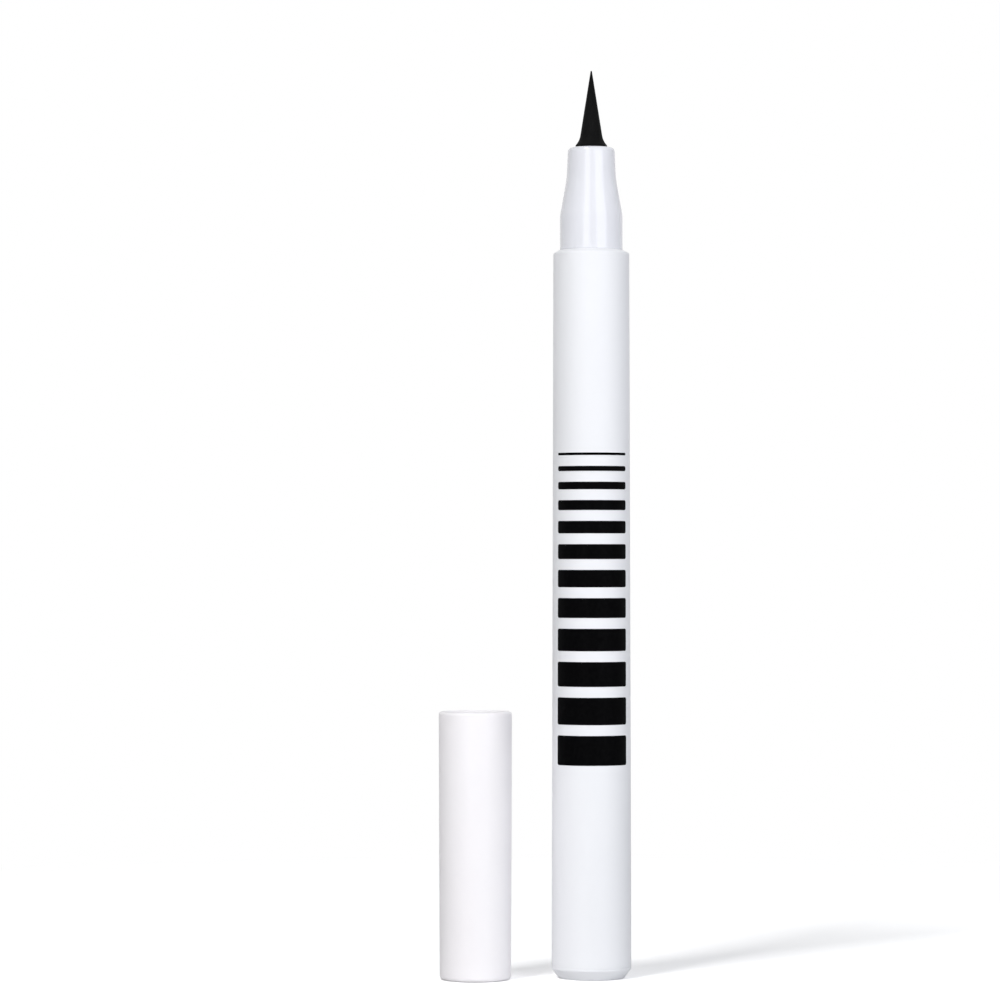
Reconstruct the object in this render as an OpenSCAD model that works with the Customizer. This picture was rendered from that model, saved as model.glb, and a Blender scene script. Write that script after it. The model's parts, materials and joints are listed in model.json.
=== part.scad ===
/* [Barrel] */
// Height of the shoulder above the surface that the pen stands on
body_len = 100; // [92:1:115]
// Outside diameter just under the shoulder
body_d = 10.45; // [10.2:0.05:11.5]
// Radius gained from the shoulder down to the foot
body_draft = 0.25; // [0.1:0.05:0.4]
// Width of the shoulder, from the outside of the barrel to the front collar
shoulder_w = 0.92; // [0.85:0.01:1.1]
// Rounding of the shoulder's outer edge
shoulder_round = 0.35; // [0.2:0.05:0.5]
// Fall of the shoulder from the collar to the top of its rounded edge
shoulder_fall = 0.35; // [0.1:0.05:0.5]
// Width of each inner step that a part seats on
bore_step = 0.2; // [0.15:0.05:0.3]
// Depth of the socket that holds the front collar
socket_depth = 12; // [9:0.5:15]

/* [Tail plug] */
// Height of the chamfer round the foot
foot_chamfer_h = 1.3; // [0.8:0.05:1.6]
// Width of the chamfer round the foot
foot_chamfer_w = 0.95; // [0.6:0.05:1.4]
// Height of the straight rim between the chamfer and the barrel
foot_rim = 0.3; // [0.2:0.05:0.6]
// Length of the plug above the rim, inside the barrel
plug_len = 7; // [5:0.5:10]
// Wall of the hollow plug
plug_wall = 1.3; // [1.2:0.05:1.5]
// Thickness of the plug's floor
plug_floor = 2.2; // [1.6:0.1:3]

/* [Seals and clearances] */
// Cord diameter of the ring seals
seal_cord = 0.7; // [0.5:0.05:0.8]
// Radial gap between pieces that are pressed together for good
press_gap = 0.03; // [0.01:0.01:0.05]
// Radial gap of the inner cap that slides in the cap
slide_gap = 0.08; // [0.05:0.01:0.1]
// Radial gap between the collar's seat and the cap's bore
cap_gap = 0.12; // [0.1:0.01:0.16]
// Gap left where a moving piece rests on another
rest_gap = 0.05; // [0.02:0.01:0.1]

/* [Ink tank] */
// Diameter of the mixing ball
ball_d = 4; // [3:0.1:4.5]
// Length of the tank plug below its flange
tank_plug_len = 6; // [4:0.5:9]
// Thickness of the tank plug's flange
tank_flange = 1.2; // [0.8:0.1:2]
// Length of the nozzle that reaches down into the ink
nozzle_len = 4; // [2:0.5:8]
// Wall of the nozzle and of the collector's core
core_wall = 0.7; // [0.5:0.05:0.9]

/* [Collector and feed] */
// Length of the collector, from the tank plug to the front collar
collector_len = 30; // [22:1:36]
// Thickness of one collector fin
fin_t = 0.35; // [0.25:0.05:0.5]
// Distance from one fin to the next
fin_pitch = 0.85; // [0.7:0.05:1.5]
// Thickness of the collector's two end discs
comb_end_t = 1.6; // [1:0.1:2.5]
// Width of the ink channel cut down the fins
channel_w = 0.6; // [0.4:0.05:1]
// Diameter of the fibre feed
feed_d = 2; // [1.6:0.05:2.2]
// Length of the feed that stands out of the nozzle
feed_reach = 1; // [0.5:0.1:2]
// Length of the feed's pointed end inside the nib
feed_point = 1.6; // [1:0.1:2.5]
// Length of the straight feed inside the nib, below its point
feed_grip = 1; // [0.5:0.1:2]

/* [Front collar] */
// Height of the straight seat that the cap closes on
seat_h = 4.75; // [3.5:0.05:6]
// Height of the cone above the seat
cone_h = 5.05; // [4:0.05:7]
// Height of the slim front above the cone
front_h = 4.3; // [3:0.1:6]
// Radius lost over the slim front
front_draft = 0.17; // [0.05:0.01:0.3]
// Rounding of the collar's front edge
front_round = 0.6; // [0.3:0.05:0.8]
// Height of the soft blend at each end of the cone
cone_blend = 0.9; // [0.4:0.05:1.4]
// Wall of the collar round the nib
front_wall = 1.02; // [0.9:0.01:1.2]
// Width of the step by which the seat rests on the barrel's end
seat_step = 0.2; // [0.16:0.01:0.3]
// Wall of the spigot that stands in the barrel
spigot_wall = 1.1; // [0.9:0.05:1.2]
// Length of the close bore at the collar's front
lip_len = 2.6; // [1.5:0.1:3.5]

/* [Nib] */
// Diameter of the fibre rod that the nib is ground from
nib_d = 4.36; // [4.1:0.02:4.45]
// Length of the nib in front of the collar
nib_len = 10.6; // [8:0.1:13]
// Height of the rod that shows in front of the collar, below the flare
rim_h = 0.3; // [0.1:0.05:0.6]
// Height of the flare at the nib's base
flare_h = 1.35; // [0.8:0.05:2]
// Diameter of the cone where the flare runs into it
cone_d = 3.04; // [2.4:0.02:3.4]
// Diameter of the nib's point
point_d = 0.2; // [0.1:0.02:0.4]
// Length of the fibre rod inside the collar
nib_root = 10; // [8:0.5:11]
// Wall of the nib holder's sleeve
holder_wall = 0.36; // [0.3:0.02:0.44]
// Thickness of the nib holder's floor
holder_floor = 0.9; // [0.6:0.1:1.5]
// Thickness of the nib holder's flange
holder_flange = 1.4; // [1:0.1:2]
// Width of the air grooves down the nib holder
air_groove_w = 0.7; // [0.4:0.05:1]
// Depth of the air grooves
air_groove_depth = 0.15; // [0.08:0.01:0.2]

/* [Cap] */
// Length of the cap
cap_len = 36.6; // [35:0.1:42]
// Wall of the cap at its mouth
cap_wall = 0.59; // [0.56:0.01:0.8]
// Radius lost from the mouth to the closed end
cap_draft = 0.13; // [0.05:0.01:0.2]
// Thickness of the closed end
cap_end_t = 1.2; // [0.9:0.1:2]
// Rounding of the closed end's edge
cap_end_round = 0.5; // [0.3:0.05:0.7]
// Rounding of the mouth's outer edge
cap_mouth_round = 0.4; // [0.2:0.05:0.4]
// Width from the seat's bore in to the inner cap's guide bore
cap_step = 0.32; // [0.28:0.01:0.36]
// Width and depth of the lead-in chamfer inside the mouth
mouth_lead = 0.15; // [0.1:0.01:0.16]
// Height of the seat's upper end that the cap's grip band holds
grip_h = 1.2; // [0.9:0.05:1.6]
// Radius by which the grip band is smaller than the collar's seat
cap_grip = 0.08; // [0.05:0.01:0.1]
// Free width between the pen and the cap standing beside it
cap_apart = 5.45; // [2:0.05:12]
// Distance that the cap stands in front of the pen
cap_forward = 2.3; // [0:0.1:6]

/* [Inner cap] */
// Travel of the inner cap against its spring
inner_travel = 1.2; // [0.6:0.1:1.6]
// Radial gap between the inner cap's mouth and the collar's slim front
seal_gap = 0.1; // [0.06:0.01:0.14]
// Radius by which the keeper bead overlaps the inner cap's flange
keeper_grip = 0.1; // [0.06:0.01:0.14]
// Height of the keeper bead
keeper_h = 0.6; // [0.4:0.05:1]
// Length of the skirt above the inner cap's flange
skirt_len = 3; // [2.2:0.1:3.6]
// Thickness of the inner cap's flange
inner_flange = 0.8; // [0.5:0.05:1.2]
// Wall of the inner cap round the nib
inner_wall = 0.6; // [0.45:0.05:0.7]
// Free width round the nib inside the inner cap
nib_room = 0.85; // [0.8:0.01:0.95]
// Free length past the nib's point inside the inner cap
point_room = 1.3; // [0.6:0.1:2]

/* [Cap spring] */
// Wire diameter of the spring
wire_d = 0.45; // [0.35:0.05:0.5]
// Mean diameter of the spring's curls
spring_d = 5.3; // [5.1:0.1:5.6]
// Number of curls
spring_curls = 7; // [5:1:8]
// Height of the boss that centres each end of the spring
boss_h = 0.8; // [0.5:0.1:1.2]

/* [Hidden] */

// Facets of a round solid in the preview, and segments of a rounded edge
round_fn = 96;
arc_steps = 6;
// Sides of the spring's wire and rings per curl
wire_sides = 6;
curl_rings = 8;
// Overrun that lets a cut pass the face it opens
cut_over = 0.5;
// Turn of the shoulder's rounded edge, in degrees, before it runs into the slope
shoulder_turn = 62;
// Grooves down the nib holder, and the play of the collector's fins in the bore
air_grooves = 4;
fin_play = 0.12;
// Share of the cone blend that bends on each side of the cone's corner
blend_share = 0.5;
// Share of the flare's height at which its curve turns into the cone
flare_turn_share = 0.45;

// Radii of the barrel, from the outside in
body_r = body_d / 2;
foot_r = body_r + body_draft;
seat_r = body_r - shoulder_w;
spigot_r = seat_r - seat_step;
socket_r = spigot_r + press_gap;
comb_r = socket_r - bore_step;
tank_r = comb_r - bore_step;

// Heights of the seams and steps, from the foot up
z_barrel = foot_chamfer_h + foot_rim;
z_plug_top = z_barrel + plug_len;
z_socket = body_len - socket_depth;
z_step = z_socket - collector_len - tank_flange;
z_tank_plug = z_step - tank_plug_len;
z_nozzle = z_tank_plug - nozzle_len;
z_feed = z_nozzle - feed_reach;
z_cone = body_len + seat_h;
z_front = z_cone + cone_h;
z_collar = z_front + front_h;
z_point = z_collar + nib_len;
z_root = z_collar - nib_root;
z_holder = z_root - holder_floor;
z_holder_seat = z_holder + holder_flange;
z_lip = z_collar - lip_len;

// Seal groove: as deep as the cord, as wide as the cord and two gaps
groove_w = seal_cord + 2 * press_gap;
groove_depth = seal_cord + 2 * press_gap;
plug_r = tank_r - press_gap;
z_tail_seal = z_barrel + plug_len / 2;
z_tank_seal = z_step - tank_plug_len / 2;

// Feed, its bore and the tubes round it
feed_r = feed_d / 2;
feed_bore_r = feed_r + press_gap;
core_r = feed_bore_r + core_wall;

// Collar and nib
tip_r = nib_d / 2 + press_gap + front_wall;
front_r = tip_r + front_draft;
spigot_bore_r = spigot_r - spigot_wall;
nib_bore_r = nib_d / 2 + press_gap;
holder_r = nib_bore_r + holder_wall;
holder_bore_r = holder_r + press_gap;

// Cap: radii, then depths that are counted from its mouth
cap_bore_r = seat_r + cap_gap;
cap_mouth_r = cap_bore_r + cap_wall;
cap_end_r = cap_mouth_r - cap_draft;
grip_r = seat_r - cap_grip;
guide_r = cap_bore_r - cap_step;
flange_r = guide_r - slide_gap;
keeper_r = flange_r - keeper_grip;
skirt_r = keeper_r - slide_gap;
skirt_bore_r = front_r + seal_gap;
room_r = nib_d / 2 + nib_room;
collar_h = z_collar - body_len;
cone_run = cone_h / (seat_r - front_r);
grip_depth = seat_h - grip_h;
guide_depth = seat_h + cone_run * (seat_r - guide_r) + slide_gap;
seal_depth = seat_h + cone_run * (seat_r - skirt_bore_r);
inner_mouth = seal_depth - inner_travel;
flange_depth = inner_mouth + skirt_len;
room_depth = collar_h + front_round - inner_travel;
inner_floor = collar_h + nib_len + point_room - inner_travel;
inner_end = inner_floor + inner_wall;
spring_low = cap_end_t;
spring_high = cap_len - inner_end;
boss_r = (spring_d / 2 - wire_d / 2) * cos(180 / curl_rings) - slide_gap;
cap_x = -(foot_r + cap_apart + cap_mouth_r);
cap_y = -cap_forward;

// Points of an arc round a centre, in the plane of an outline
function arc(cx, cz, r, from, to) = [
  for (i = [0:arc_steps])
    let (a = from + (to - from) * i / arc_steps)
    [cx + r * cos(a), cz + r * sin(a)]
];

// Points of a smooth bend from one point to another, drawn towards a corner
function bend(p, corner, q) = [
  for (i = [0:arc_steps])
    let (t = i / arc_steps)
    (1 - t) * (1 - t) * p + 2 * t * (1 - t) * corner + t * t * q
];

// Point on the line from a to b, at the given distance from a
function along(a, b, distance) = a + (b - a) * distance / norm(b - a);

// A solid of revolution from an outline of radius and height
module lathe(outline) {
  rotate_extrude($fn = round_fn)
    polygon(outline);
}

// A ring seal at a height, pressed against a bore
module ring_seal(z) {
  seal_r = tank_r - press_gap - seal_cord / 2;
  rotate_extrude($fn = round_fn)
    translate([seal_r, z])
      circle(d = seal_cord, $fn = round_fn / 3);
}

// Tube with stepped bore, a taper outside and a rounded shoulder
module barrel() {
  edge_z = body_len - shoulder_fall - shoulder_round;
  color("#f3f3f5")
    lathe(concat(
      [[tank_r, z_barrel], [foot_r, z_barrel]],
      arc(body_r - shoulder_round, edge_z, shoulder_round, 0, shoulder_turn),
      [
        [seat_r, body_len], [socket_r, body_len], [socket_r, z_socket],
        [comb_r, z_socket], [comb_r, z_step], [tank_r, z_step]
      ]
    ));
}

// Chamfered foot with a hollow plug that closes the ink tank
module tail_plug() {
  cup_r = plug_r - plug_wall;
  groove_r = tank_r - groove_depth;
  color("#f1f1f3")
    difference() {
      lathe([
        [0, 0], [foot_r - foot_chamfer_w, 0], [foot_r, foot_chamfer_h], [foot_r, z_barrel],
        [plug_r, z_barrel], [plug_r, z_plug_top], [cup_r, z_plug_top],
        [cup_r, plug_floor], [0, plug_floor]
      ]);
      translate([0, 0, z_tail_seal - groove_w / 2])
        difference() {
          cylinder(h = groove_w, r = tank_r + cut_over, $fn = round_fn);
          cylinder(h = groove_w, r = groove_r, $fn = round_fn);
        }
    }
}

module tail_seal() {
  color("#2b2b2b")
    ring_seal(z_tail_seal);
}

// Steel ball, at rest on the floor of the hollow plug
module mixing_ball() {
  color("silver")
    translate([0, 0, plug_floor + rest_gap + ball_d / 2])
      sphere(d = ball_d, $fn = round_fn);
}

// Partition: flange on the barrel's step, sealed plug and feed nozzle
module tank_plug() {
  groove_r = tank_r - groove_depth;
  flange_r = comb_r - press_gap;
  color("#dfe3e2")
    difference() {
      lathe([
        [feed_bore_r, z_nozzle], [core_r, z_nozzle], [core_r, z_tank_plug],
        [plug_r, z_tank_plug], [plug_r, z_step], [flange_r, z_step],
        [flange_r, z_step + tank_flange], [feed_bore_r, z_step + tank_flange]
      ]);
      translate([0, 0, z_tank_seal - groove_w / 2])
        difference() {
          cylinder(h = groove_w, r = tank_r + cut_over, $fn = round_fn);
          cylinder(h = groove_w, r = groove_r, $fn = round_fn);
        }
    }
}

module tank_seal() {
  color("#2b2b2b")
    ring_seal(z_tank_seal);
}

// Core tube with evenly spaced fins, end discs, an ink channel and a nose
module collector() {
  z_low = z_step + tank_flange;
  fin_r = comb_r - fin_play;
  disc_r = comb_r - press_gap;
  comb_len = collector_len - 2 * comb_end_t;
  fins = floor((comb_len - fin_t) / fin_pitch);
  spare = comb_len - (fins - 1) * fin_pitch - fin_t;
  color("#e4e6e4")
    difference() {
      union() {
        translate([0, 0, z_low])
          cylinder(h = z_holder - z_low, r = core_r, $fn = round_fn);
        for (z = [z_low, z_socket - comb_end_t])
          translate([0, 0, z])
            cylinder(h = comb_end_t, r = disc_r, $fn = round_fn);
        for (i = [0:fins - 1])
          translate([0, 0, z_low + comb_end_t + spare / 2 + i * fin_pitch])
            cylinder(h = fin_t, r = fin_r, $fn = round_fn);
      }
      translate([0, 0, z_low - cut_over])
        cylinder(h = z_holder - z_low + 2 * cut_over, r = feed_bore_r, $fn = round_fn);
      translate([feed_bore_r + core_wall / 2, -channel_w / 2, z_low + comb_end_t])
        cube([comb_r, channel_w, collector_len]);
    }
}

// Fibre rod from the ink to the nib, pointed where it enters the nib
module feed_core() {
  color("#cfcac0")
    lathe([
      [0, z_feed], [feed_r, z_feed], [feed_r, z_root + feed_grip],
      [point_d / 2, z_root + feed_grip + feed_point],
      [0, z_root + feed_grip + feed_point]
    ]);
}

// Nose of the pen: spigot, seat for the cap, cone and slim front
module front_collar() {
  cone_low = [seat_r, z_cone];
  cone_high = [front_r, z_front];
  tip = [tip_r, z_collar - front_round];
  blend = cone_blend * blend_share;
  color("#eceaf4")
    lathe(concat(
      [
        [spigot_bore_r, z_socket], [spigot_r, z_socket], [spigot_r, body_len],
        [seat_r, body_len]
      ],
      bend([seat_r, z_cone - blend], cone_low, along(cone_low, cone_high, blend)),
      bend(along(cone_high, cone_low, cone_blend), cone_high, along(cone_high, tip, cone_blend)),
      arc(tip_r - front_round, z_collar - front_round, front_round, 0, 90),
      [
        [nib_bore_r, z_collar], [nib_bore_r, z_lip], [holder_bore_r, z_lip],
        [holder_bore_r, z_holder_seat], [spigot_bore_r, z_holder_seat]
      ]
    ));
}

// Sleeve round the nib's root, with a flange and air grooves outside
module nib_holder() {
  color("#e4e6e4")
    difference() {
      lathe([
        [feed_bore_r, z_holder], [spigot_bore_r - press_gap, z_holder],
        [spigot_bore_r - press_gap, z_holder_seat], [holder_r, z_holder_seat],
        [holder_r, z_lip], [nib_bore_r, z_lip], [nib_bore_r, z_root], [feed_bore_r, z_root]
      ]);
      for (i = [0:air_grooves - 1])
        rotate([0, 0, i * 360 / air_grooves])
          translate([holder_r - air_groove_depth, -air_groove_w / 2, z_holder - cut_over])
            cube([spigot_bore_r, air_groove_w, z_lip - z_holder + 2 * cut_over]);
    }
}

// Ground fibre nib: rod, flare and a long cone, with a socket for the feed
module nib() {
  nib_r = nib_d / 2;
  cone_r = cone_d / 2;
  point_r = point_d / 2;
  z_rim = z_collar + rim_h;
  z_flare = z_rim + flare_h;
  cone_slope = (cone_r - point_r) / (z_point - point_r - z_flare);
  turn_h = flare_h * flare_turn_share;
  turn = [cone_r + cone_slope * (flare_h - turn_h), z_rim + turn_h];
  z_socket_end = z_root + feed_grip + feed_point + press_gap;
  color("#141414")
    lathe(concat(
      [[feed_bore_r, z_root], [nib_r, z_root]],
      bend([nib_r, z_rim], turn, [cone_r, z_flare]),
      arc(0, z_point - point_r, point_r, 0, 90),
      [
        [0, z_socket_end], [point_r + press_gap, z_socket_end],
        [feed_bore_r, z_root + feed_grip]
      ]
    ));
}

// Places a piece of the cap where the cap stands, on its closed end
module at_cap() {
  translate([cap_x, cap_y, 0])
    children();
}

// Outer cap, mouth up: seat bore, grip band, guide bore, keeper bead and spring boss
module cap_shell() {
  mouth_edge = cap_len - cap_mouth_round;
  grip_high = cap_len - grip_depth;
  guide_high = cap_len - guide_depth;
  keeper_low = cap_len - flange_depth + rest_gap;
  bead_run = guide_r - keeper_r;
  color("#f1eff2")
    at_cap()
      lathe(concat(
        [[0, 0]],
        arc(cap_end_r - cap_end_round, cap_end_round, cap_end_round, -90, 0),
        arc(cap_mouth_r - cap_mouth_round, mouth_edge, cap_mouth_round, 0, 90),
        [
          [cap_bore_r + mouth_lead, cap_len], [cap_bore_r, cap_len - mouth_lead],
          [cap_bore_r, grip_high + cap_bore_r - grip_r], [grip_r, grip_high],
          [grip_r, guide_high + grip_r - guide_r], [guide_r, guide_high],
          [guide_r, keeper_low + keeper_h + bead_run], [keeper_r, keeper_low + keeper_h],
          [keeper_r, keeper_low], [guide_r, keeper_low], [guide_r, cap_end_t],
          [boss_r, cap_end_t], [boss_r, cap_end_t + boss_h], [0, cap_end_t + boss_h]
        ]
      ));
}

// Thimble that slides in the cap: skirt, flange, nib chamber and spring boss
module inner_cap() {
  z_mouth = cap_len - inner_mouth;
  z_flange = cap_len - flange_depth;
  z_room = cap_len - room_depth;
  z_floor = cap_len - inner_floor;
  chamber_r = room_r + inner_wall;
  color("#e9e9e6")
    at_cap()
      lathe([
        [0, spring_high - boss_h], [boss_r, spring_high - boss_h], [boss_r, spring_high],
        [chamber_r, spring_high], [chamber_r, z_flange - inner_flange],
        [flange_r, z_flange - inner_flange], [flange_r, z_flange], [skirt_r, z_flange],
        [skirt_r, z_mouth], [skirt_bore_r, z_mouth], [skirt_bore_r, z_room],
        [room_r, z_room], [room_r, z_floor], [0, z_floor]
      ]);
}

// Centre line of the spring, clear of its two seats by half a wire and a gap
spring_start = spring_low + wire_d / 2 + rest_gap;
spring_rise = spring_high - spring_low - wire_d - 2 * rest_gap;
spring_rings = spring_curls * curl_rings;
curl_step = 360 / curl_rings;

function coil_point(i) = [
  spring_d / 2 * cos(i * curl_step),
  spring_d / 2 * sin(i * curl_step),
  spring_start + spring_rise * i / spring_rings
];

function coil_ring(i) = [
  for (k = [0:wire_sides - 1])
    let (a = k * 360 / wire_sides, out = spring_d / 2 + wire_d / 2 * cos(a))
    [
      out * cos(i * curl_step),
      out * sin(i * curl_step),
      coil_point(i).z + wire_d / 2 * sin(a)
    ]
];

// Least gap between the wire and itself, a near turn away or more
spring_self_gap = min([
  for (i = [0:spring_rings], j = [i + curl_rings / 2:spring_rings])
    norm(coil_point(i) - coil_point(j)) - wire_d
]);

// One unbroken wire wound at a steady rate
module cap_spring() {
  echo(spring_self_gap = spring_self_gap);
  points = [for (i = [0:spring_rings]) each coil_ring(i)];
  sides = [
    for (i = [0:spring_rings - 1], k = [0:wire_sides - 1])
      let (
        a = i * wire_sides + k,
        b = i * wire_sides + (k + 1) % wire_sides
      )
      each [[a, a + wire_sides, b + wire_sides], [a, b + wire_sides, b]]
  ];
  last = spring_rings * wire_sides;
  ends = [
    for (k = [1:wire_sides - 2])
      each [[0, k, k + 1], [last, last + k + 1, last + k]]
  ];
  color("silver")
    at_cap()
      polyhedron(points = points, faces = concat(sides, ends), convexity = 8);
}

barrel();
tail_plug();
tail_seal();
mixing_ball();
tank_plug();
tank_seal();
collector();
feed_core();
front_collar();
nib_holder();
nib();
cap_shell();
inner_cap();
cap_spring();
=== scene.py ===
# %% [markdown]
# # A liquid eyeliner pen with its cap off
# The real pen is a slim moulded barrel that holds the ink. A chamfered plug closes its foot, a glossy
# collar closes its front, and a black fibre nib stands in the collar. The cap stands beside it, mouth up.
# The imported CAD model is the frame: every piece made here takes its place and its outline from a CAD node,
# so the pen keeps its true sizes while Blender adds soft edges, fine surfaces and the studio.

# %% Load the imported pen
import json
import math

import bmesh
import bpy
from mathutils import Matrix, Vector, noise


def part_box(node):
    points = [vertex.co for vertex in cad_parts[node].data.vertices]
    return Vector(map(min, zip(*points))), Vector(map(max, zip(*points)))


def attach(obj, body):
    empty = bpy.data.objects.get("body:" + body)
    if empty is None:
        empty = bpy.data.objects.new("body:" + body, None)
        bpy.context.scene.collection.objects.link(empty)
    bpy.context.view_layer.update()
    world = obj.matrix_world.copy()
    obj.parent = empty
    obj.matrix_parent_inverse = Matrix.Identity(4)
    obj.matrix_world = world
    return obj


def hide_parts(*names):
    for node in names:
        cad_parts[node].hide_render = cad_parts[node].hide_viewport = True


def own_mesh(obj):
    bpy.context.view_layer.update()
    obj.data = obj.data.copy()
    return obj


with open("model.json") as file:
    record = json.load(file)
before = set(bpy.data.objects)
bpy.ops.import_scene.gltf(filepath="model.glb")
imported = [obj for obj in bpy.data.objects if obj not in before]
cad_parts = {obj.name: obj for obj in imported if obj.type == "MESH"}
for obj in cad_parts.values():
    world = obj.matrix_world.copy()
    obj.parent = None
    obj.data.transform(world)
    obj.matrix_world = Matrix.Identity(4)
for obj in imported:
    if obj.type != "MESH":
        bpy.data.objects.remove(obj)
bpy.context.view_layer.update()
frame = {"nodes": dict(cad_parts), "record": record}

mm = 0.001
mounts = {mount["name"]: Vector(mount["pos_m"]) for mount in frame["record"]["mounts"]}
pen_axis = Vector((0, 0, 0))
cap_axis = Vector((mounts["cap_bore"].x, mounts["cap_bore"].y, 0))

# %% [markdown]
# ## The camera
# The photograph was taken from far away with a long lens, at about the height of the pen's middle: rings
# above eye level curve upwards and rings below it curve downwards. Eye level falls on one row of the
# picture, so the camera needs only that row, its distance and its height. A shifted lens could put that row
# in place too, but a slight tilt does it without a shift and keeps the other views centred.

# %% Make the camera
image_px = 1000
sensor_width = 36
lens_length = 147.6
eye_row_px = 550
camera_place = Vector((-12.57, -564, 58.7)) * mm

lens_px = lens_length / sensor_width * image_px
tilt_up = math.atan((eye_row_px - image_px / 2) / lens_px)

camera_data = bpy.data.cameras.new("studio_camera")
camera_data.lens = lens_length
camera_data.sensor_width = sensor_width
camera_data.clip_start = 10 * mm
camera = bpy.data.objects.new("studio_camera", camera_data)
camera.location = camera_place
camera.rotation_euler = (math.pi / 2 + tilt_up, 0, 0)
bpy.context.scene.collection.objects.link(camera)
bpy.context.scene.camera = camera
bpy.context.scene.view_settings.view_transform = "Standard"
print("the camera tilts up by", round(math.degrees(tilt_up), 2), "degrees")

# %% [markdown]
# ## Colours and nodes
# A colour on a screen is written in sRGB, but the renderer counts light in linear values, so one function
# turns a hex colour to linear. A material is a small tree of nodes. A second function adds a node with its
# options and its inputs, where an input is a plain value or the output of another node, and a third does one
# sum with a Math node. That keeps each material short enough to read at a glance.


# %% Helpers for colours and nodes
def linear(hex_colour):
    """An sRGB hex colour as the linear RGBA values that sockets take."""
    parts = [int(hex_colour[i:i + 2], 16) / 255 for i in (1, 3, 5)]
    return [p / 12.92 if p <= 0.04045 else ((p + 0.055) / 1.055) ** 2.4 for p in parts] + [1]


def add_node(tree, kind, inputs=None, **options):
    """Adds a node, sets its options, and fills or links its inputs."""
    made = tree.nodes.new(kind)
    for name, value in options.items():
        setattr(made, name, value)
    for name, value in (inputs or {}).items():
        if isinstance(value, bpy.types.NodeSocket):
            tree.links.new(value, made.inputs[name])
        else:
            made.inputs[name].default_value = value
    return made


def calculate(tree, operation, *numbers):
    """The result of one Math node on plain numbers or outputs."""
    return add_node(tree, "ShaderNodeMath", dict(enumerate(numbers)), operation=operation).outputs[0]


print("the middle grey of a screen in linear values:", [round(c, 3) for c in linear("#808080")])

# %% [markdown]
# ## Patterns with a real size
# Each surface here has a coarse pattern that shifts its colour a little, and a fine one that roughens it.
# Image textures could show both, but noise needs no picture and has no edge where it repeats. Its scale is
# one over the size of a grain in metres, and a Mapping node draws the grain out where it has a direction.
# The patterns read Object coordinates: each piece sits at the origin, so its pattern stays put on it. Noise
# rarely leaves the middle of its range, so it is widened before it sets a colour or a roughness.

# %% Helpers for grain, tint and spread
noise_low = 0.3
noise_high = 0.7


def grain(tree, size_mm, stretch=(1, 1, 1), detail=2):
    """Noise whose grains are size_mm across, drawn out along each axis by stretch."""
    place = add_node(tree, "ShaderNodeTexCoord")
    drawn_out = add_node(
        tree, "ShaderNodeMapping",
        {"Vector": place.outputs["Object"], "Scale": [1 / share for share in stretch]},
    )
    pattern = add_node(
        tree, "ShaderNodeTexNoise",
        {"Vector": drawn_out.outputs["Vector"], "Scale": 1 / (size_mm * mm), "Detail": detail},
    )
    return pattern.outputs["Fac"]


def spread(tree, factor, low, high):
    """A number from low to high, by a noise factor that is widened first."""
    widened = add_node(
        tree, "ShaderNodeMapRange",
        {"Value": factor, "From Min": noise_low, "From Max": noise_high, "To Min": low, "To Max": high},
    )
    return widened.outputs["Result"]


def tint(tree, factor, first, second):
    """A colour between two hex colours, by a noise factor."""
    mixed = add_node(
        tree, "ShaderNodeMix",
        {"Factor": spread(tree, factor, 0, 1), 6: linear(first), 7: linear(second)},
        data_type="RGBA",
    )
    return mixed.outputs[2]


# %% [markdown]
# ## Wear near an edge
# The edges of a moulded piece are the first to be polished, by fingers, by the table and by the cap that
# slides over them. The pieces are turned, so each edge that wears lies at one height, and a mask by height
# is enough. The Pointiness of the geometry would find edges too, but only on a dense mesh, and only in one
# renderer. Wear is never even, so noise breaks each ring up into patches.

# %% Helper for worn rings
wear_patch_mm = 1.4
least_wear = 0.2


def worn_rings(tree, heights, width_mm=0.6):
    """1 at each height, in metres, falling to 0 at width_mm from it, and broken up by noise."""
    place = add_node(tree, "ShaderNodeTexCoord")
    axes = add_node(tree, "ShaderNodeSeparateXYZ", {"Vector": place.outputs["Object"]})
    patches = spread(tree, grain(tree, wear_patch_mm), least_wear, 1)
    worn = 0
    for height in heights:
        above = calculate(tree, "SUBTRACT", axes.outputs["Z"], height)
        near = add_node(
            tree, "ShaderNodeMapRange",
            {
                "Value": calculate(tree, "ABSOLUTE", above), "From Max": width_mm * mm,
                "To Min": 1, "To Max": 0,
            },
        )
        worn = calculate(tree, "MAXIMUM", worn, near.outputs["Result"])
    return calculate(tree, "MULTIPLY", worn, patches)


# %% [markdown]
# ## Closing a material
# Every material ends in the same way: colour, roughness and a little relief feed one principled surface.
# What is the same all over a surface, such as its index of refraction, is set on the surface's own socket,
# because only a plain value survives the export.


# %% Helpers that open and close a material
def open_material(name):
    """A new material and its empty tree."""
    made = bpy.data.materials.new(name)
    made.use_nodes = True
    made.node_tree.nodes.clear()
    return made, made.node_tree


def close_material(tree, colour, roughness, relief, relief_mm, constants):
    """Joins colour, roughness and a relief of relief_mm in one surface with those constants."""
    bump = add_node(tree, "ShaderNodeBump", {"Height": relief, "Distance": relief_mm * mm})
    surface = add_node(
        tree, "ShaderNodeBsdfPrincipled",
        {"Base Color": colour, "Roughness": roughness, "Normal": bump.outputs["Normal"], **constants},
    )
    add_node(tree, "ShaderNodeOutputMaterial", {"Surface": surface.outputs["BSDF"]})


def less_worn(tree, roughness, worn, polish):
    """A roughness that is lower by polish where worn is 1."""
    return calculate(tree, "MULTIPLY_ADD", worn, -polish, roughness)


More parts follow.
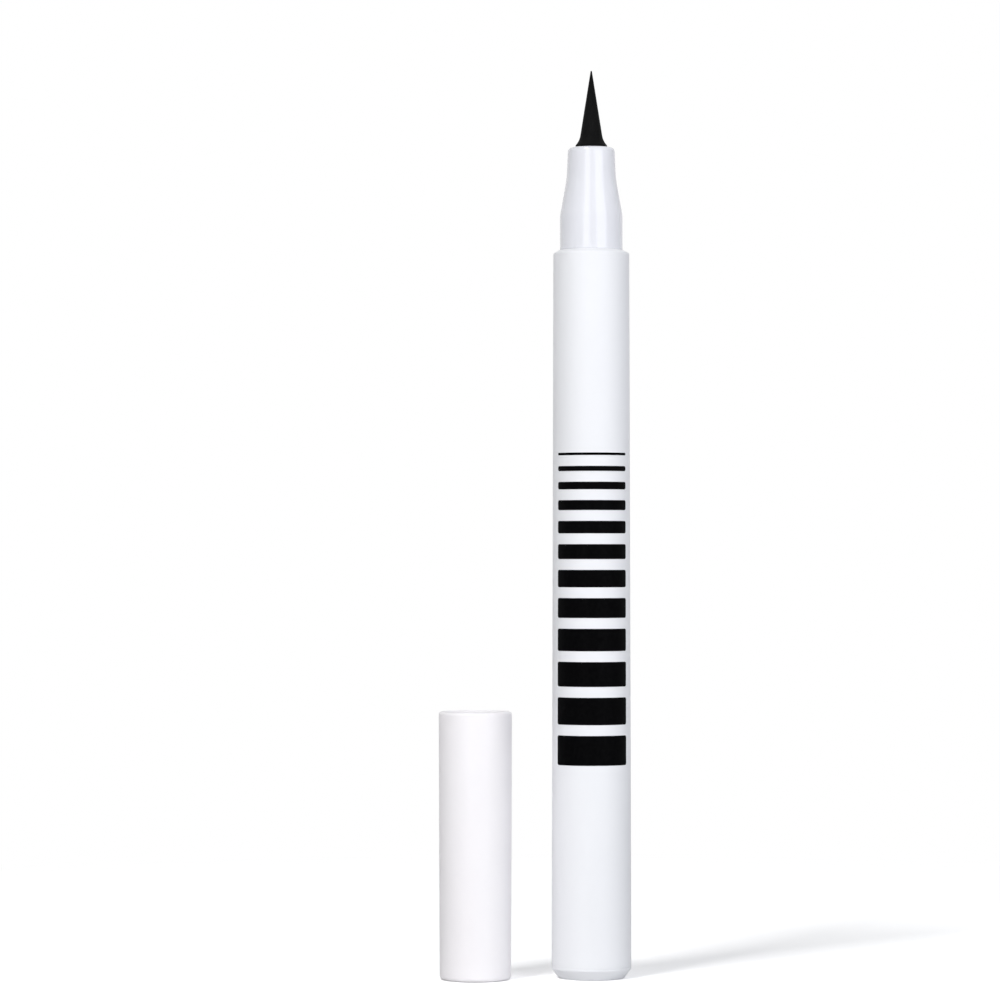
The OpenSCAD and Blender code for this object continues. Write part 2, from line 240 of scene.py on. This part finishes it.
# %% [markdown]
# ## Satin white polypropylene
# The barrel, its foot plug and the cap are moulded polypropylene, filled with titanium white. The mould is
# spark eroded, which leaves a fine satin grain, so highlights are wide and soft and no reflection shows.
# Real spark grain is about 0.05 mm, too fine to see at this distance. It is drawn at 0.3 mm and kept very
# shallow. The cap comes from another batch and mould, a slightly warmer white, and its wall is so thin that
# some light goes into it, which a small subsurface share gives.


# %% Satin polypropylene for the barrel and the cap
def satin_polypropylene(name, light, dark, worn_heights, constants):
    """A satin white that is smoother where it is worn."""
    material, tree = open_material(name)
    flow = grain(tree, 9, stretch=(1, 1, 4))
    worn = worn_rings(tree, worn_heights)
    roughness = spread(tree, grain(tree, 1.1, detail=3), 0.40, 0.48)
    close_material(
        tree, tint(tree, flow, light, dark), less_worn(tree, roughness, worn, 0.12),
        grain(tree, 0.3, detail=1), 0.0012, {"IOR": 1.49, **constants},
    )
    return material


barrel_low, barrel_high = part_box("barrel")
cap_low, cap_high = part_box("cap_shell")
barrel_white = satin_polypropylene(
    "satin_moulded_polypropylene_cool_white", "#F0F1F4", "#EDEEF1", [barrel_high.z, barrel_low.z, 0],
    {"Specular IOR Level": 0.3},
)
cap_white = satin_polypropylene(
    "satin_moulded_polypropylene_warm_white", "#FBF8FB", "#F9F5F8", [cap_high.z, cap_low.z],
    {
        "Specular IOR Level": 0.5, "Subsurface Weight": 0.3,
        "Subsurface Scale": 1 * mm, "Subsurface Radius": (1, 1, 1),
    },
)
print("satin whites:", barrel_white.name, "and", cap_white.name)

# %% [markdown]
# ## Polished ABS
# The collar is moulded in ABS from a polished mould, so it mirrors the studio's lamps as upright streaks. ABS
# is a little bluer than polypropylene, and its skin is never quite flat: a faint orange peel a few
# millimetres wide makes the streaks waver. Where the cap's grip band rubs the seat, it is polished further.


# %% Polished ABS for the collar
def polished_abs():
    """The collar's glossy white, rubbed smoother by the cap."""
    material, tree = open_material("polished_moulded_abs_bluish_white")
    flow = grain(tree, 7, stretch=(1, 1, 2))
    worn = worn_rings(tree, [mounts["collar_seat"].z], 2)
    roughness = spread(tree, grain(tree, 1.5, detail=3), 0.13, 0.18)
    close_material(
        tree, tint(tree, flow, "#E6E7ED", "#E2E3E9"), less_worn(tree, roughness, worn, 0.05),
        grain(tree, 2.2, stretch=(1, 1, 3), detail=1), 0.004, {"IOR": 1.54, "Specular IOR Level": 0.7},
    )
    return material


collar_white = polished_abs()
print("collar:", collar_white.name)

# %% [markdown]
# ## Natural polypropylene
# The inner cap, the tank plug, the comb-like collector and the nib's holder are moulded without colour.
# Natural polypropylene is milky: light goes in a little way and scatters, which a small subsurface share
# gives. Nobody polishes these moulds, so the surface is silky, with faint flow lines.


# %% Natural polypropylene for the inner pieces
def natural_polypropylene():
    """The milky white of an uncoloured moulding."""
    material, tree = open_material("natural_moulded_polypropylene")
    flow = grain(tree, 3, stretch=(1, 1, 3), detail=3)
    close_material(
        tree, tint(tree, flow, "#EDEEEA", "#E4E6E1"), spread(tree, grain(tree, 0.8, detail=3), 0.30, 0.38),
        grain(tree, 0.4, detail=2), 0.0015,
        {
            "IOR": 1.49, "Subsurface Weight": 0.25,
            "Subsurface Scale": 0.8 * mm, "Subsurface Radius": (1, 1, 1),
        },
    )
    return material


inner_white = natural_polypropylene()
print("inner pieces:", inner_white.name)

# %% [markdown]
# ## Bonded fibre
# The nib is a rod of fine fibres, bonded with resin and ground to a point, and it is soaked with black ink.
# The fibres run lengthwise, so the grain is drawn out along the pen: fine streaks, almost no shine, and
# black that isn't quite even where the ink has dried. The feed that brings the ink is the same kind of rod,
# unground and pale. Real fibres are 0.02 mm thick, and the streaks are drawn three times as coarse.


# %% Bonded fibre for the nib and the feed
def bonded_fibre(name, light, dark, roughness, shine):
    """Lengthwise fibres, between two colours."""
    material, tree = open_material(name)
    streaks = grain(tree, 0.06, stretch=(1, 1, 40), detail=2)
    blotches = grain(tree, 1.6, stretch=(1, 1, 2), detail=3)
    both = calculate(tree, "ADD", streaks, blotches)
    average = calculate(tree, "MULTIPLY", both, 0.5)
    close_material(
        tree, tint(tree, average, light, dark), spread(tree, streaks, roughness, roughness + 0.15),
        streaks, 0.012, {"IOR": 1.45, "Specular IOR Level": shine},
    )
    return material


nib_black = bonded_fibre("ground_bonded_fibre_black_ink", "#131313", "#090909", 0.55, 0.05)
feed_pale = bonded_fibre("bonded_fibre_rod_pale", "#CFC9BC", "#B9B2A3", 0.8, 0.25)
print("fibres:", nib_black.name, "and", feed_pale.name)

# %% [markdown]
# ## Rubber and steel
# The ring seals are nitrile rubber from a matt mould, near black and dull. The mixing ball is ground and
# tumbled to a mirror. The spring is drawn wire, so fine lines run along it, and oil tints it slightly.
# These pieces stay inside the pen, but each is a real piece with its own finish.


# %% Rubber, ball steel and spring wire
def moulded_rubber():
    """Dull near-black rubber."""
    material, tree = open_material("moulded_nitrile_rubber")
    bloom = grain(tree, 1.2, detail=3)
    close_material(
        tree, tint(tree, bloom, "#2A2A2B", "#1E1E1F"), spread(tree, bloom, 0.68, 0.8),
        grain(tree, 0.12, detail=2), 0.003, {"IOR": 1.52},
    )
    return material


def steel(name, light, dark, low, high, stretch, relief_mm):
    """Bare steel with fine lines, and a roughness from low to high."""
    material, tree = open_material(name)
    lines = grain(tree, 0.15, stretch=stretch, detail=3)
    close_material(
        tree, tint(tree, lines, light, dark), spread(tree, lines, low, high),
        lines, relief_mm, {"Metallic": 1},
    )
    return material


seal_rubber = moulded_rubber()
ball_steel = steel("tumbled_ball_steel", "#CDCDCF", "#C2C2C5", 0.08, 0.14, (1, 1, 1), 0.0003)
spring_steel = steel("drawn_spring_wire", "#B4B4B2", "#A3A3A0", 0.28, 0.4, (8, 8, 1), 0.001)
print("rubber and steel:", seal_rubber.name, ball_steel.name, spring_steel.name)

# %% [markdown]
# ## Printing ink
# The barrel carries a black print. It is pad printed: a thin film of dense ink that dries almost without
# gloss, with a faint mottle that only shows close up.


# %% Pad printing ink
def pad_ink():
    """Dense black ink with a faint mottle."""
    material, tree = open_material("pad_printed_black_ink")
    mottle = grain(tree, 0.5, detail=4)
    close_material(
        tree, tint(tree, mottle, "#060607", "#020203"), spread(tree, mottle, 0.34, 0.46),
        grain(tree, 0.3, detail=1), 0.0012, {"IOR": 1.5, "Specular IOR Level": 0.02},
    )
    return material


print_black = pad_ink()
print("print:", print_black.name)

# %% [markdown]
# ## From a CAD node to a finished piece
# The barrel, plugs, collar, nib and cap are all turned shapes. A CAD solid has knife-sharp edges, and real
# mouldings have none: the small radius on each corner is what catches the light. Bevelling the CAD mesh is
# ruled out, because the frame is never changed. The CAD mesh itself is left unbevelled, so each piece is
# turned again: cut the node through its axis, keep one half of the cut as an outline, round the outline's
# corners, and spin it round the axis.

# %% Outline of a turned node
weld = 0.0001 * mm
straight_turn = math.radians(0.5)


def outline_of(node, axis):
    """Half of the cut through a turned node's axis, as a bmesh that holds only edges."""
    shape = bmesh.new()
    shape.from_mesh(frame["nodes"][node].data)
    bmesh.ops.remove_doubles(shape, verts=shape.verts, dist=weld)
    cut = bmesh.ops.bisect_plane(
        shape, geom=shape.verts[:] + shape.edges[:] + shape.faces[:], dist=weld,
        plane_co=axis, plane_no=(0, 1, 0),
    )["geom_cut"]
    on_plane = set(cut)
    bmesh.ops.delete(shape, geom=[v for v in shape.verts if v not in on_plane], context="VERTS")
    bmesh.ops.bisect_plane(
        shape, geom=shape.verts[:] + shape.edges[:], dist=weld,
        plane_co=axis, plane_no=(1, 0, 0), clear_inner=True,
    )
    straight = [v for v in shape.verts if turn_at(v) < straight_turn and len(v.link_edges) == 2]
    bmesh.ops.dissolve_verts(shape, verts=straight)
    return shape


def turn_at(vert):
    """How far an outline turns at a vertex. Its two ends on the axis count as straight."""
    if len(vert.link_edges) != 2:
        return 0
    arms = [edge.other_vert(vert).co - vert.co for edge in vert.link_edges]
    return math.pi - arms[0].angle(arms[1])


for node in ("barrel", "nib"):
    trial = outline_of(node, pen_axis)
    print(node, "has", len(trial.verts), "outline points")
    trial.free()

# %% [markdown]
# ## Rounding and turning
# A bevel on a single vertex of the outline rounds that corner by itself, so a corner beside a short step
# gets a small radius and the others keep the full one. After the spin the first and last rows are merged,
# the poles on the axis are welded, and the normals are made to point outwards.

# %% Round the corners and spin the outline
edge_round_mm = 0.06
round_steps = 4
arm_share = 0.4
sharp_turn = math.radians(20)
turn_steps = 144


def soften(shape, radius_mm=edge_round_mm):
    """Rounds each sharp corner of an outline, by no more than arm_share of its shorter arm."""
    for corner in [v for v in shape.verts if turn_at(v) > sharp_turn]:
        room = min(edge.calc_length() for edge in corner.link_edges)
        bmesh.ops.bevel(
            shape, geom=[corner], offset=min(radius_mm * mm, arm_share * room), affect="VERTICES",
            segments=round_steps, profile=0.5, material=-1,
        )


def turned(shape, axis, steps=turn_steps):
    """Spins an outline once round an upright axis and closes it."""
    bmesh.ops.spin(
        shape, geom=shape.verts[:] + shape.edges[:], cent=axis, axis=(0, 0, 1),
        angle=math.tau, steps=steps, use_merge=True,
    )
    bmesh.ops.remove_doubles(shape, verts=shape.verts, dist=weld)
    bmesh.ops.recalc_face_normals(shape, faces=shape.faces)
    return shape


# %% [markdown]
# ## Showing a piece
# A finished bmesh becomes an object that rides on its CAD body and stands for its CAD node. Its shading is
# smooth, and a Weighted Normal modifier lets the large faces set the normals, so that a flat face stays
# flat right up to its rounded edge.

# %% Helper that shows a piece
crease = math.radians(40)


def show(shape, name, material, body, stands_for):
    """Turns a bmesh into a piece on a body, in the place of a CAD node."""
    mesh = bpy.data.meshes.new(name)
    open_edges = sum(not edge.is_manifold for edge in shape.edges)
    shape.to_mesh(mesh)
    shape.free()
    mesh.materials.append(material)
    mesh.shade_smooth()
    mesh.set_sharp_from_angle(angle=crease)
    piece = bpy.data.objects.new(name, mesh)
    bpy.context.scene.collection.objects.link(piece)
    even = piece.modifiers.new("even_shading", "WEIGHTED_NORMAL")
    even.keep_sharp = True
    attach(piece, body)
    if stands_for:
        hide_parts(stands_for)
    print(name, "has", len(mesh.polygons), "faces and", open_edges, "open edges")
    return piece


# %% [markdown]
# ## Barrel, foot, collar and cap
# These five pieces differ only in their node, their axis and their finish, so one loop turns them all. The
# large roundings, such as those of the cap's closed end, are in the CAD outline already, and only the sharp
# corners that it leaves are rounded here.

# %% Turn the plain mouldings
plain_mouldings = [
    ("barrel_tube", "barrel", pen_axis, barrel_white, "pen", "barrel_plastic"),
    ("foot_plug", "tail_plug", pen_axis, barrel_white, "pen", "barrel_plastic"),
    ("nose_collar", "front_collar", pen_axis, collar_white, "pen", "collar_plastic"),
    ("cap_tube", "cap_shell", cap_axis, cap_white, "cap", "cap_plastic"),
    ("cap_liner_cup", "inner_cap", cap_axis, inner_white, "cap_liner", "inner_plastic"),
]
for name, node, axis, material, body, slot in plain_mouldings:
    outline = outline_of(node, axis)
    soften(outline)
    show(turned(outline, axis), name, material, body, node)

# %% [markdown]
# ## The nib
# The nib is ground on a stone, which leaves its fibres standing in low ridges, and its flared base rests on
# the collar. Bump alone would leave the silhouette as smooth as plastic, so the ridges are real: each
# vertex in front of the collar moves in a little, by noise that changes fast round the nib and slowly
# along it. Nothing moves outwards, so the nib stays inside its CAD solid.

# %% Turn the nib and press in its fibre ridges
nib_steps = 180
nib_round_mm = 0.03
nib_row_mm = 0.35
ridge_depth_mm = 0.035
ridges_per_mm = 5
ridge_run_mm = 2

outline = outline_of("nib", pen_axis)
soften(outline, nib_round_mm)
long_rows = [edge for edge in outline.edges if edge.calc_length() > nib_row_mm * mm]
for edge in long_rows:
    bmesh.ops.subdivide_edges(outline, edges=[edge], cuts=int(edge.calc_length() / (nib_row_mm * mm)))
nib_shape = turned(outline, pen_axis, nib_steps)
collar_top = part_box("front_collar")[1].z
nib_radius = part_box("nib")[1].x
for vert in nib_shape.verts:
    around = vert.co.xy
    if vert.co.z > collar_top and around.length > 0:
        spot = around.normalized() * nib_radius * ridges_per_mm / mm
        depth = noise.noise(Vector((spot.x, spot.y, vert.co.z / (ridge_run_mm * mm)))) * 0.5 + 0.5
        share = min(1, around.length / nib_radius)
        vert.co.xy -= around.normalized() * depth * share * ridge_depth_mm * mm
show(nib_shape, "fibre_nib", nib_black, "pen", "nib")

# %% [markdown]
# ## The spring in the cap
# A compression spring is wound from one wire, and its end coils lie close so that it stands square. Spin
# makes it in three stretches: it turns a round section about the axis and lifts it a little with each
# step. As the inner cap sinks, the real coils close up.

# %% Wind the spring
wire_d = 0.45 * mm
wire_sides = 8
coil_steps = 20
end_turns = 0.8
open_turns = 5.4
end_pitch = wire_d * 1.1
spring_low, spring_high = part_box("cap_spring")
coil_radius = (spring_high.x - spring_low.x - wire_d) / 2
coil_rise = spring_high.z - spring_low.z - wire_d

spring_shape = bmesh.new()
section = bmesh.ops.create_circle(spring_shape, cap_ends=True, segments=wire_sides, radius=wire_d / 2)
start = cap_axis + Vector((coil_radius, 0, spring_low.z + wire_d / 2))
upright = Matrix.Rotation(math.pi / 2, 3, "X")
bmesh.ops.rotate(spring_shape, verts=section["verts"], cent=(0, 0, 0), matrix=upright)
bmesh.ops.translate(spring_shape, verts=section["verts"], vec=start)
wire_end = spring_shape.verts[:] + spring_shape.edges[:] + spring_shape.faces[:]
for turns, rise in (
    (end_turns, end_turns * end_pitch),
    (open_turns, coil_rise - 2 * end_turns * end_pitch),
    (end_turns, end_turns * end_pitch),
):
    steps = round(turns * coil_steps)
    wire_end = bmesh.ops.spin(
        spring_shape, geom=wire_end, cent=cap_axis, axis=(0, 0, 1), dvec=(0, 0, rise / steps),
        angle=math.tau * turns, steps=steps,
    )["geom_last"]
bmesh.ops.recalc_face_normals(spring_shape, faces=spring_shape.faces)
spring = show(spring_shape, "cap_coil", spring_steel, "cap", "cap_spring")

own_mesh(spring)

# %% [markdown]
# ## The print on the barrel
# The black print stands in the middle of the barrel, round its front. Here it is a plain line-weight scale:
# level strokes, from hair thin to bold, as a liner pen draws them. Real print is a film of ink. Each stroke
# starts as a thin plate with rounded corners and is wrapped onto the barrel, half sunk in it, so that it is
# a closed body and no face lies on another.

# %% Wrap the strokes round the barrel
print_low = 29.3 * mm
print_high = 72.0 * mm
print_half_turn = math.radians(60)
print_proud = 0.02 * mm
stroke_count = 12
thinnest = 0.35 * mm
gap_share = 0.38
stroke_columns = 48
corner_round = 0.3 * mm
corner_share = 0.45
corner_steps = 5

barrel_tube = bpy.data.objects["barrel_tube"]


def barrel_radius(height):
    """Radius of the barrel's outside at a height, met by a ray from the front."""
    found, place, *_ = barrel_tube.ray_cast(Vector((0, -1, height)), Vector((0, 1, 0)))
    return Vector(place.xy).length


def wrap(vert):
    """Moves a vertex of a flat plate, in x along the arc and y outwards, onto the barrel."""
    radius = barrel_radius(vert.co.z)
    angle = vert.co.x / radius
    out = radius + vert.co.y
    vert.co.x = out * math.sin(angle)
    vert.co.y = -out * math.cos(angle)


print_shape = bmesh.new()
inked = (print_high - print_low) * (1 - gap_share)
growth = 2 * (inked / stroke_count - thinnest) / (stroke_count - 1)
gap = (print_high - print_low) * gap_share / (stroke_count - 1)
top = print_high
for i in range(stroke_count):
    weight = thinnest + growth * i
    plate = bmesh.new()
    bmesh.ops.create_cube(plate, size=1)
    width = 2 * print_half_turn * barrel_radius(top)
    bmesh.ops.scale(plate, verts=plate.verts, vec=(width, 2 * print_proud, weight))
    corners = [e for e in plate.edges if abs(e.verts[0].co.y - e.verts[1].co.y) > print_proud]
    bmesh.ops.bevel(
        plate, geom=corners, offset=min(corner_round, corner_share * weight), affect="EDGES",
        segments=corner_steps, profile=0.5, material=-1,
    )
    for column in range(1, stroke_columns):
        x = (column / stroke_columns - 0.5) * width
        bmesh.ops.bisect_plane(
            plate, geom=plate.verts[:] + plate.edges[:] + plate.faces[:], dist=weld,
            plane_co=(x, 0, 0), plane_no=(1, 0, 0),
        )
    bmesh.ops.translate(plate, verts=plate.verts, vec=(0, 0, top - weight / 2))
    for vert in plate.verts:
        wrap(vert)
    stroke = bpy.data.meshes.new("stroke")
    plate.to_mesh(stroke)
    plate.free()
    print_shape.from_mesh(stroke)
    bpy.data.meshes.remove(stroke)
    top -= weight + gap
bmesh.ops.recalc_face_normals(print_shape, faces=print_shape.faces)
show(print_shape, "barrel_print", print_black, "pen", None)

# %% [markdown]
# ## The pieces that stay inside
# The seals, the ball, the tank plug, the collector, the feed and the nib's holder have the right shape in
# CAD and hide inside the pen, so they stay as they are and only get their real finish.

# %% Finish the hidden CAD nodes
hidden_finishes = {
    "tail_seal": seal_rubber,
    "tank_seal": seal_rubber,
    "mixing_ball": ball_steel,
    "tank_plug": inner_white,
    "collector": inner_white,
    "nib_holder": inner_white,
    "feed_core": feed_pale,
}
for node, material in hidden_finishes.items():
    frame["nodes"][node].material_slots[0].material = material
print("finished inside:", ", ".join(hidden_finishes))

# %% [markdown]
# ## The floor
# The pen stands on white paper that runs out of the picture, so there is no horizon. The floor is a wide
# disc. For the camera alone the paper is a little whiter and is lifted by a faint glow, so that lit paper is
# plain white while the shadow stays soft and pale, and far from the pen it fades to plain white. All other
# rays meet ordinary white paper, so neither adds light to the pen.

# %% Lay the floor
floor_radius = 900 * mm
floor_steps = 96
floor_drop = 0.02 * mm
paper_white = "#E2E2E2"
paper_lift = 0.2
paper_contrast = 1.15
fade_start = 100 * mm
fade_end = 220 * mm

floor_shape = bmesh.new()
bmesh.ops.create_circle(floor_shape, cap_ends=True, segments=floor_steps, radius=floor_radius)
bmesh.ops.translate(floor_shape, verts=floor_shape.verts, vec=(0, 0, -floor_drop))
floor_mesh = bpy.data.meshes.new("studio_floor")
floor_shape.to_mesh(floor_mesh)
floor_shape.free()
floor = bpy.data.objects.new("studio_floor", floor_mesh)
bpy.context.scene.collection.objects.link(floor)

paper, tree = open_material("white_studio_paper")
ray = add_node(tree, "ShaderNodeLightPath")
place = add_node(tree, "ShaderNodeTexCoord")
away = add_node(tree, "ShaderNodeVectorMath", {0: place.outputs["Object"]}, operation="LENGTH")
fade = add_node(
    tree, "ShaderNodeMapRange",
    {"Value": away.outputs["Value"], "From Min": fade_start, "From Max": fade_end},
)
glow = calculate(tree, "MULTIPLY", ray.outputs["Is Camera Ray"], paper_lift)
far = calculate(tree, "MULTIPLY", fade.outputs["Result"], ray.outputs["Is Camera Ray"])
paper_tone = add_node(
    tree, "ShaderNodeMix",
    {"Factor": ray.outputs["Is Camera Ray"], 6: linear(paper_white), 7: (*[paper_contrast] * 3, 1)},
    data_type="RGBA",
)
sheet = add_node(tree, "ShaderNodeBsdfDiffuse", {"Color": paper_tone.outputs[2]})
lift = add_node(tree, "ShaderNodeEmission", {"Strength": glow})
lit = add_node(tree, "ShaderNodeAddShader", {0: sheet.outputs[0], 1: lift.outputs[0]})
white = add_node(tree, "ShaderNodeEmission", {"Strength": 1})
faded = add_node(tree, "ShaderNodeMixShader", {"Fac": far, 1: lit.outputs[0], 2: white.outputs[0]})
side = add_node(tree, "ShaderNodeNewGeometry")
clear = add_node(tree, "ShaderNodeBsdfTransparent")
one_sided = add_node(
    tree, "ShaderNodeMixShader",
    {"Fac": side.outputs["Backfacing"], 1: faded.outputs[0], 2: clear.outputs[0]},
)
add_node(tree, "ShaderNodeOutputMaterial", {"Surface": one_sided.outputs[0]})
floor_mesh.materials.append(paper)
print("floor:", paper.name)

# %% [markdown]
# ## The studio
# Walls all round give a low even light, stronger and a touch bluer on the right. The camera and the gloss see
# a plain white backdrop in their place. Two upright softboxes near the camera draw the two streaks on the
# collar. A third one lights the front between them and stays out of the gloss, so that the streaks keep
# apart. One high on the left throws the long soft shadow to the right. The last one lights the back: it
# stands low, straight behind the pen, so the edges that the camera sees get almost none of it, and it is
# hidden from the camera and from the gloss. Each lamp is set by the share of full white that it alone gives
# a white surface facing it, which makes the lamps easy to compare. Its watts follow from that share and from
# the square of its distance.

# %% World and lamps
ambient_left = 0.12
ambient_right = 0.38

world = bpy.data.worlds.new("white_studio")
bpy.context.scene.world = world
world.use_nodes = True
tree = world.node_tree
tree.nodes.clear()
ray = add_node(tree, "ShaderNodeLightPath")
mirrored = calculate(tree, "MAXIMUM", ray.outputs["Is Glossy Ray"], ray.outputs["Is Transmission Ray"])
shown = calculate(tree, "MAXIMUM", ray.outputs["Is Camera Ray"], mirrored)
way = add_node(tree, "ShaderNodeTexCoord")
axes = add_node(tree, "ShaderNodeSeparateXYZ", {"Vector": way.outputs["Generated"]})
to_right = add_node(tree, "ShaderNodeMapRange", {"Value": axes.outputs["X"], "From Min": -1})
strength = add_node(
    tree, "ShaderNodeMapRange",
    {"Value": to_right.outputs["Result"], "To Min": ambient_left, "To Max": ambient_right},
)
wall_colour = add_node(
    tree, "ShaderNodeMix",
    {"Factor": to_right.outputs["Result"], 6: linear("#FFFFFF"), 7: linear("#F4F7FF")}, data_type="RGBA",
)
walls = add_node(
    tree, "ShaderNodeBackground", {"Color": wall_colour.outputs[2], "Strength": strength.outputs["Result"]},
)
backdrop = add_node(tree, "ShaderNodeBackground", {"Color": linear("#FFFFFF"), "Strength": 1})
room = add_node(tree, "ShaderNodeMixShader", {"Fac": shown, 1: walls.outputs[0], 2: backdrop.outputs[0]})
add_node(tree, "ShaderNodeOutputWorld", {"Surface": room.outputs[0]})

lamp_aim = Vector((0, 0, 50)) * mm


def softbox(name, azimuth, elevation, distance, width, height, share, colour="#FFFFFF"):
    """An area lamp at degrees right of the camera's side and above the floor, aimed at the pen."""
    turn = math.radians(azimuth)
    rise = math.radians(elevation)
    out = Vector((math.sin(turn) * math.cos(rise), -math.cos(turn) * math.cos(rise), math.sin(rise)))
    lamp = bpy.data.lights.new(name, "AREA")
    lamp.shape = "RECTANGLE"
    lamp.size = width
    lamp.size_y = height
    lamp.energy = share * math.pi ** 2 * distance ** 2
    lamp.color = linear(colour)[:3]
    holder = bpy.data.objects.new(name, lamp)
    holder.location = lamp_aim + out * distance
    holder.rotation_euler = out.to_track_quat("Z", "Y").to_euler()
    bpy.context.scene.collection.objects.link(holder)
    print(name, "gives", round(lamp.energy, 2), "W")
    return holder


softbox("key_softbox", -33.5, 52, 2.2, 0.4, 0.36, 0.41)
softbox("left_softbox", -20, 4, 0.6, 0.24, 0.7, 0.22)
softbox("right_softbox", 37, 4, 0.6, 0.42, 0.7, 0.46, "#F7F9FF")
front = softbox("front_softbox", 3, 5, 0.75, 0.6, 0.6, 0.25)
front.visible_glossy = False
back = softbox("back_softbox", 180, 5, 1.2, 0.3, 0.4, 0.62)
back.visible_glossy = False
back.visible_camera = False
